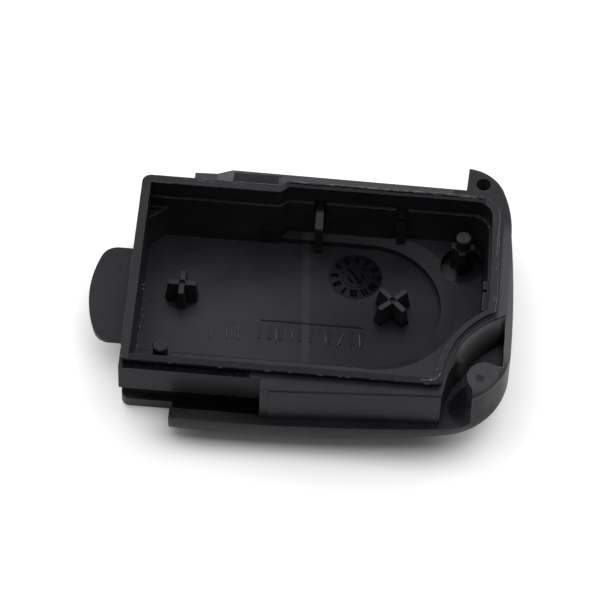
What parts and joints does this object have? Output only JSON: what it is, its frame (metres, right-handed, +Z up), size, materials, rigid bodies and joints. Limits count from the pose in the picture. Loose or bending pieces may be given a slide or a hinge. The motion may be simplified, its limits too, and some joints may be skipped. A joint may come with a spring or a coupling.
{
  "type": "flip key rear cover",
  "caption": "Rear cover of a flip key fob: open tub with raised lip, round cell bay, board posts and pins, blade channel, latch tongue and keyring corner.",
  "frame": {"origin": "on the flat of the outer face, under the middle of the tub", "axes": "+X along the key towards the keyring corner, +Y across it towards the horn, +Z up out of the open side"},
  "size_m": [0.056, 0.0398, 0.013],
  "materials": {
    "shell": "fine matte moulded texture"
  },
  "bodies": {
    "root": {"rear_cover": "shell"}
  },
  "joints": []
}
